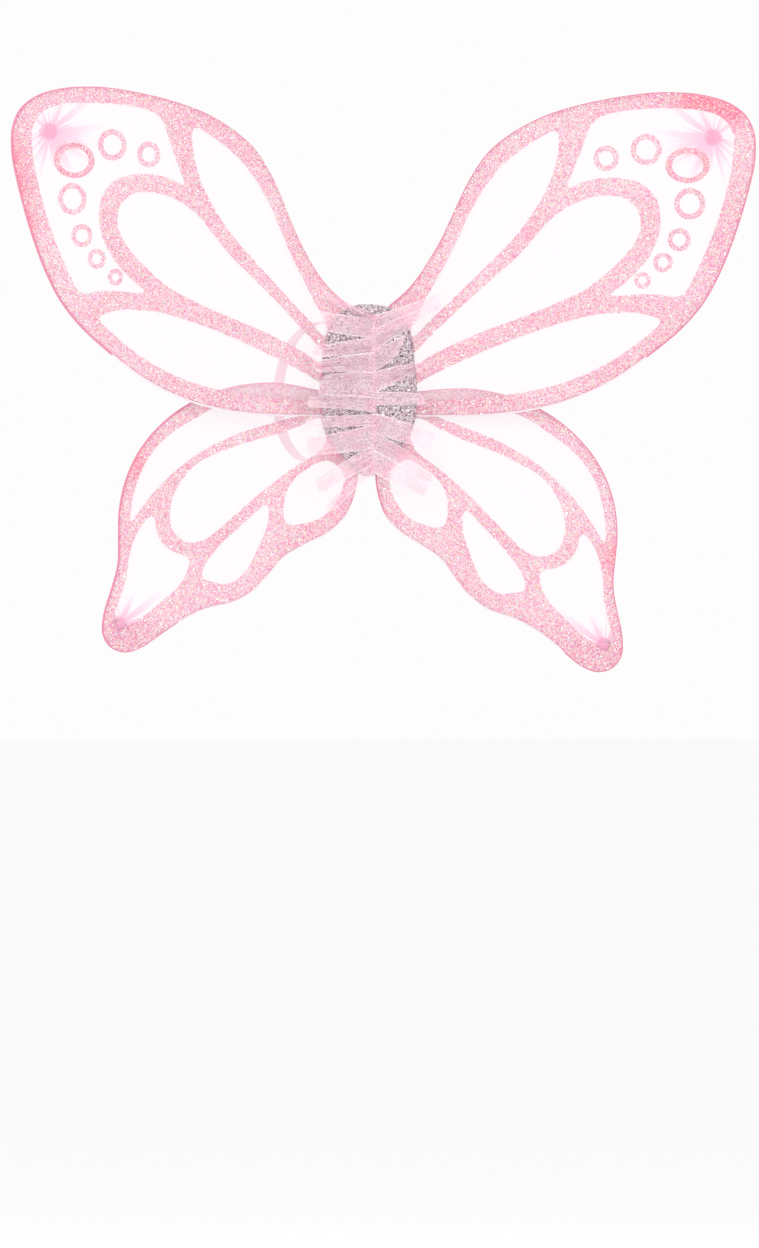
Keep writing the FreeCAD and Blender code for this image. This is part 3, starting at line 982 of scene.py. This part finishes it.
def make_print(lobe):
    """The glitter border and veins as a thin film on the front skin, and its loose flakes."""
    flat, triangles = film_triangles(lobe)
    gap = lobe.half_gap(flat)
    places = np.vstack([lobe.place(flat, gap + FILM), lobe.place(flat, gap + 0.03)])
    faces = slab_faces(triangles, len(flat))
    piece = make_object(lobe.name + "_print_film", places, faces, GLITTER_FILM, smooth=False)
    set_value(piece, "dense", np.tile(density_of(DENSE_SPOTS[lobe.name], flat), 2))
    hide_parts(lobe.name + "_glitter_print")
    lobe.join(piece)
    bed = lobe.place(flat, gap + FILM + 0.05)
    top = faces_forward(faces[:len(triangles)], bed)
    seed = 3 + 2 * lobe.upper + (lobe.sign > 0)
    lobe.join(add_flakes(lobe.name + "_print_flakes", bed, top, seed))


def make_rings(lobe):
    """The trail of printed rings, slightly raised, in one piece of separate rings."""
    ragged = np.random.default_rng(5)
    places, faces, tops, dense = [], [], [], []
    start, across = 0, 6
    for out, up, outer, inner, squash in RINGS:
        around = max(48, round(outer * 9))
        angle = np.linspace(0, 2 * math.pi, around, endpoint=False)
        for share in np.linspace(0, 1, across):
            rim = share in (0, 1)
            radius = inner + (outer - inner) * share
            radius = radius + ragged.normal(0, 0.07, around) * (2 if rim else 1)
            flat = np.c_[out + radius * np.cos(angle), up + radius * np.sin(angle) * squash]
            lift = lobe.half_gap(flat) + (0.02 if rim else FILM)
            places.append(lobe.place(flat, lift))
        dense.append(np.full(across * around, 0.4 if outer > 15 else 0.0))
        rows = grid_faces(across, around, first=start)
        faces += rows
        tops += rows[around:-around]
        last = start + (across - 1) * around
        for i in range(around):
            k = (i + 1) % around
            faces.append((last + i, last + k, start + k, start + i))
        start += across * around
    places = np.concatenate(places)
    name = lobe.name + "_ring_prints"
    piece = make_object(name, places, faces, GLITTER_FILM, smooth=False)
    set_value(piece, "dense", np.concatenate(dense))
    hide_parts(lobe.name + "_printed_rings")
    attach(piece, lobe.body)
    bed = places - [0, 0.05, 0]
    top = faces_forward(tops, bed)
    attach(add_flakes(lobe.name + "_ring_flakes", bed, top, 31 + (lobe.sign > 0)), lobe.body)


def make_hoop(lobe):
    """The wire hoop, open along the root, in one run of wire."""
    ring = lobe.outline - lobe.normals * WIRE_INSET
    root = ring[:, 0] < ring[:, 0].min() + 1.0
    order = np.roll(np.arange(len(ring)), -int(np.flatnonzero(root & ~np.roll(root, -1))[0]) - 1)
    ring = ring[order]
    ring = ring[ring[:, 0] > ring[:, 0].min() + 1.0]
    course = lobe.place(ring[::2], np.zeros(len(ring[::2])))
    piece = tube(lobe.name + "_hoop", course, WIRE_RADIUS, COATED_WIRE)
    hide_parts(lobe.name + "_hoop_wire", lobe.name + "_wire_tails")
    lobe.join(piece)


def make_tuft(lobe):
    """The tied-off end of the sleeve: a necked tuft with folds that run out from the thread."""
    profile = [
        (5.2, 1.2), (3.6, 1.9), (3.2, 2.6), (3.3, 3.2), (4.6, 3.9), (5.9, 4.8),
        (6.0, 6.0), (4.9, 7.0), (3.0, 7.4), (1.2, 7.0),
    ]
    around = 64
    angle = np.linspace(0, 2 * math.pi, around, endpoint=False)
    pleat = 0.5 * np.sin(angle * 11) + 0.5 * np.sin(angle * 17 + 1) + 0.9 * np.sin(angle * 3 + 2)
    rows = []
    for radius, depth in profile:
        swell = radius * (1 + 0.11 * pleat)
        flat = np.c_[lobe.knot[0] + swell * np.cos(angle), lobe.knot[1] + swell * np.sin(angle)]
        rows.append(lobe.place(flat, -(depth + 0.35 * pleat)))
    places = np.concatenate(rows)
    tip = lobe.place(lobe.knot[None, :], np.array([-6.6]))
    base = lobe.place(lobe.knot[None, :], np.array([-1.2]))
    places = np.vstack([places, tip, base])
    faces = grid_faces(len(profile), around)
    faces += fan_faces((len(profile) - 1) * around, around, len(places) - 2)
    faces += fan_faces(0, around, len(places) - 1)
    piece = make_object(lobe.name + "_gathered_tip", places, faces, GATHERED_NYLON)
    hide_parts(lobe.name + "_tip_knot")
    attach(piece, lobe.body)


# ---------------------------------------------------------------- centre panel
def shield_loop(step=1.0):
    left = [(-x, z) for x, z in reversed(SHIELD_HALF[:-1])]
    return rounded_course(SHIELD_HALF + left, step=step)


SHIELD = shield_loop()


def cover_depth(flat):
    """Depth of the cover's front: rounded at the edge, drawn in along the gathering line."""
    edge = distance_to(flat, SHIELD)
    rise = COVER_RISE * (1 - np.exp(-edge / 2.6)) / (1 - math.exp(-30 / 2.6))
    pinch = 1.5 * np.exp(-((flat[:, 0] - RUFFLE_LINE) / 4.0) ** 2) * np.clip(edge / 6, 0, 1)
    puckers = 0.45 * np.sin(flat[:, 1] * 0.75) * np.exp(-np.abs(flat[:, 0]) / 10)
    return COVER_BACK - rise + pinch + puckers * np.clip(edge / 6, 0, 1)


def make_cover():
    """The glitter cloth cover over its foam, closed down to the felt."""
    loop = shield_loop(1.6)
    columns = len(loop)
    shares = 1 - (1 - np.linspace(0, 1, 26)[1:]) ** 1.5
    rows = []
    for share in shares:
        flat = loop * share
        rows.append(np.c_[flat[:, 0], cover_depth(flat), flat[:, 1]])
    for depth, tuck in ((-10.5, 0.2), (-8.0, -0.3), (-5.5, -0.6), (-3.4, -0.4), (-2.1, -0.2)):
        edge = loop + outward_normals(loop) * tuck
        rows.append(np.c_[edge[:, 0], np.full(columns, depth), edge[:, 1]])
    poles = [[0, cover_depth(np.zeros((1, 2)))[0], 0], [0, -2.1, 0]]
    places = np.vstack([*rows, poles])
    faces = grid_faces(len(rows), columns)
    faces += fan_faces(0, columns, len(places) - 2)
    faces += fan_faces((len(rows) - 1) * columns, columns, len(places) - 1)
    piece = make_object("padded_glitter_cover", places, faces, SILVER_CLOTH)
    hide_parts("glitter_cover", "foam_pad")
    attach(piece, "centre_panel")
    bed = places - [0, 0.12, 0]
    top = [face for face in faces if len(face) == 4 and max(face) < len(shares) * columns]
    top = faces_forward(top, bed)
    base = make_object("cover_flake_bed", bed, top, SILVER_FLAKES, closed=False)
    settings = {
        "Flakes per square metre": 1500000.0, "Flake radius": 0.38 * MM, "Tilt": 0.7,
        "Seed": 21, "Finish": SILVER_FLAKES,
    }
    flakes = grown("cover_flakes", base, SCATTER, settings)
    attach(flakes, "centre_panel")


def make_cover_stitches():
    """Stitches that hold the cover's rounded edge."""
    loop = rounded_course(SHIELD[::4], step=1.0)
    course = loop - outward_normals(loop) * 3.4
    course = np.c_[course[:, 0], cover_depth(course) - 0.15, course[:, 1]]
    course = np.vstack([course, course[:1]])
    piece = stitches_along("cover_edge_stitches", course, 3.6, 2.4, 0.28)
    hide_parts("cover_stitching")
    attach(piece, "centre_panel")


# ---------------------------------------------------------------- tulle ruffle
def run_length(points):
    return np.linalg.norm(np.diff(points, axis=0), axis=1).sum()


def pleated(row, length, shape):
    """A row of cloth pushed in and out in pleats until it is as long as the flat strip."""
    low, high = 0.0, 4.0
    for _ in range(12):
        depth = (low + high) / 2
        tried = row + np.c_[np.zeros(len(row)), -depth * shape, np.zeros(len(row))]
        if run_length(tried) < length:
            low = depth
        else:
            high = depth
    return tried


def frill_places(frill, order, shuffle, rows, columns):
    """One strip of the ruffle, gathered at the stitching and spread at its free end."""
    seam_top, seam_bottom, top, bottom = frill
    across = np.linspace(0, 1, columns)
    bow = 1.6 * np.sin(math.pi * across)
    out = top[0] + (bottom[0] - top[0]) * across + bow
    up = top[1] + (bottom[1] - top[1]) * across
    seam = seam_top + (seam_bottom - seam_top) * across
    lift = 1.2 + 1.6 * (order % 2) + shuffle.uniform(0, 0.8)
    pleats = max(3, round((seam_top - seam_bottom) / 3.4))
    phase = across * pleats + 0.3 * np.sin(across * 7 + order) + order * 0.37
    shape = np.sin(2 * math.pi * phase)
    end = run_length(np.c_[out, up])
    width = max(end * 1.03, (seam_top - seam_bottom) * 1.15)
    sag = shuffle.uniform(-1.8, 1.2)
    curl = shuffle.uniform(-1.2, 2.2)
    caught = shuffle.uniform(-2.6, -0.4)
    rowset, flat = [], []
    for share in np.linspace(0, 1, rows):
        x = caught + (out - caught) * share
        z = seam + (up - seam) * share ** 1.1 + sag * math.sin(math.pi * share)
        arch = 2.4 * math.sin(math.pi * share ** 0.7)
        rise = lift * (0.4 + 0.6 * share) + 2.6 * share ** 2 + arch
        y = RUFFLE_DEPTH - rise - curl * share ** 3 * (across - 0.5) * 2
        rowset.append(pleated(np.c_[x, y, z], width, shape))
        flat.append(np.c_[across * width, np.full(columns, STRIP_LENGTH * share)])
    return np.concatenate(rowset), np.concatenate(flat), width


def make_frills(side, frills, seed):
    """One half of the ruffle: strips of tulle caught under one line of stitches."""
    sign = 1 if side == "right" else -1
    shuffle = np.random.default_rng(seed)
    columns, rows = 44, 24
    places, flat, faces, strip = [], [], [], 0.0
    for order, frill in enumerate(frills):
        made, cloth, width = frill_places(frill, order, shuffle, rows, columns)
        middle = sign * RUFFLE_LINE * (1 - np.repeat(np.linspace(0, 1, rows), columns))
        made[:, 0] += middle
        patch = grid_faces(rows, columns, first=order * rows * columns, wrap=False)
        places.append(made * [sign, 1, 1])
        flat.append(cloth + [strip, 0])
        faces += patch
        strip += width
    places = np.concatenate(places)
    faces = faces_forward(faces, places)
    piece = make_object("tulle_frills_" + side, places, faces, TULLE, closed=False)
    set_uv(piece, "cloth", np.concatenate(flat) * MM)
    shares = np.tile(np.repeat(np.linspace(0, 1, rows), columns), len(frills))
    across = np.tile(np.linspace(-1, 1, columns), rows * len(frills))
    rim = np.maximum(shares ** 30 * 0.5, np.abs(across) ** 14 * 0.9)
    set_value(piece, "edge", np.clip(rim, 0, 1))
    set_value(piece, "gather", (1 - shares) ** 3)
    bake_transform(piece)
    return piece


def make_ruffle():
    left = make_frills("left", LEFT_FRILLS, 4)
    make_frills("right", RIGHT_FRILLS, 9)
    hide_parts("tulle_ruffle")
    heights = np.linspace(57, -58, 60)
    wander = 0.7 * np.sin(heights * 0.31) + 0.5 * np.sin(heights * 0.83)
    course = np.c_[RUFFLE_LINE + wander, np.full(60, RUFFLE_THREAD_DEPTH), heights]
    thread = stitches_along("ruffle_stitches", course, 4.6, 2.6, 0.25)
    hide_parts("gathering_thread")
    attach(thread, "centre_panel")


# ---------------------------------------------------------------- straps
def make_strap(side):
    """One elastic loop with its two sewn-in ends, as one ribbon."""
    sign = 1 if side == "right" else -1
    course = [(STRAP_SEWN_DEPTH, 33.5), (STRAP_SEWN_DEPTH, 46), *STRAP_COURSE]
    course += [(STRAP_SEWN_DEPTH, -38), (STRAP_SEWN_DEPTH, -25.5)]
    line = rounded_course(course, closed=False, step=1.0)
    ahead = np.gradient(line, axis=0)
    ahead /= np.hypot(*ahead.T)[:, None]
    normal = np.c_[-ahead[:, 1], ahead[:, 0]]
    half, thin = STRAP_WIDTH / 2, STRAP_THICKNESS / 2
    section = []
    for across in np.linspace(-half, half, 29):
        rib = 0.12 * math.cos(across * 2 * math.pi)
        rounding = 1 - (abs(across) / half) ** 10 * 0.6
        section.append((across, (thin - 0.12 + rib) * rounding))
    section += [(across, -height) for across, height in reversed(section)]
    places, flat = [], []
    run = np.arange(len(line)) * 1.0
    for across, height in section:
        out = line[:, 0] + normal[:, 0] * height
        up = line[:, 1] + normal[:, 1] * height
        swing = STRAP_SPLAY * smooth_step(out / STRAP_START)
        x = STRAP_ANCHOR_X + np.maximum(out, 0) * np.sin(swing) + across * np.cos(swing)
        y = out * np.cos(swing) - across * np.sin(swing)
        places.append(np.c_[sign * x, y, up])
        flat.append(np.c_[run, np.full(len(line), across)])
    around = len(section)
    places = np.stack(places, axis=1).reshape(-1, 3)
    flat = np.stack(flat, axis=1).reshape(-1, 2)
    faces = grid_faces(len(line), around)
    faces.append(tuple(range(around)))
    faces.append(tuple(range(len(places) - around, len(places))))
    piece = make_object(side + "_elastic_strap", places, faces, ELASTIC)
    set_uv(piece, "strap", flat * MM)
    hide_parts(side + "_shoulder_strap", side + "_strap_ends")
    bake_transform(piece)


# ---------------------------------------------------------------- carried-over pieces
def paint(node, material):
    """A new finish on a CAD node."""
    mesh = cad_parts[node].data
    mesh.materials.clear()
    mesh.materials.append(material)


def paint_kept_nodes():
    card = plain_sheet("stiff_card", (0.85, 0.84, 0.82), (0.94, 0.93, 0.91), 0.6, 90.0)
    glue = plain_sheet("set_glue", (0.86, 0.80, 0.66), (0.95, 0.91, 0.80), 0.3, 220.0)
    paint("felt_backing", FELT)
    paint("stiffener_card", card)
    for layer in ("back", "middle", "front"):
        paint(layer + "_glue_layer", glue)
    paint("strap_tacks", THREAD)
    for side in ("left", "right"):
        for level in ("upper", "lower"):
            paint(side + "_" + level + "_tip_thread", THREAD)


# ---------------------------------------------------------------- camera, light and floor
def make_camera():
    """A long lens, level, a little to the left of the middle, with the wings high in the view."""
    away = Vector((math.sin(CAMERA_AZIMUTH), -math.cos(CAMERA_AZIMUTH), 0)) * CAMERA_DISTANCE
    lens = bpy.data.cameras.new("camera")
    lens.lens = LENS_LENGTH
    lens.clip_end = 50
    camera = new_object("camera", lens)
    camera.location = CAMERA_TARGET + away
    facing = CAMERA_TARGET - camera.location
    camera.rotation_euler = facing.to_track_quat("-Z", "Y").to_euler()
    bpy.context.scene.camera = camera


def add_lamp(name, place, size, power):
    """A round soft lamp that shines on the middle of the wings."""
    light = bpy.data.lights.new(name, "AREA")
    light.shape = "DISK"
    light.size = size
    light.energy = power
    lamp = new_object(name, light)
    lamp.location = place
    lamp.rotation_euler = (-Vector(place)).to_track_quat("-Z", "Y").to_euler()


def make_studio():
    """A pale floor, a white surround and soft light from the front, the sides and behind."""
    turns = ((-1, -1), (1, -1), (1, 1), (-1, 1))
    corners = [(x * FLOOR_REACH, y * FLOOR_REACH, FLOOR_LEVEL) for x, y in turns]
    finish = matt_studio("pale_floor", (0.975, 0.97, 0.97))
    floor = make_object("studio_floor", corners, [(0, 1, 2, 3)], finish, smooth=False)
    world = bpy.data.worlds.new("white_surround")
    world.use_nodes = True
    world.node_tree.nodes["Background"].inputs["Color"].default_value = (1.0, 0.995, 0.995, 1)
    world.node_tree.nodes["Background"].inputs["Strength"].default_value = 0.985
    bpy.context.scene.world = world
    add_lamp("key", (-1.3, -1.9, 1.3), 0.5, 11)
    add_lamp("fill", (1.8, -1.5, 0.3), 1.0, 5)
    add_lamp("behind", (0.5, 1.8, 1.0), 1.0, 4)
    bpy.context.scene.view_settings.view_transform = "Standard"


make_camera()
make_studio()
for wing_side in ("left", "right"):
    for wing_level in ("upper", "lower"):
        wing = Lobe(wing_side, wing_level)
        make_hoop(wing)
        make_sleeve(wing)
        make_print(wing)
        if wing.upper:
            make_rings(wing)
        make_tuft(wing)
    make_strap(wing_side)
make_cover()
make_cover_stitches()
make_ruffle()
paint_kept_nodes()
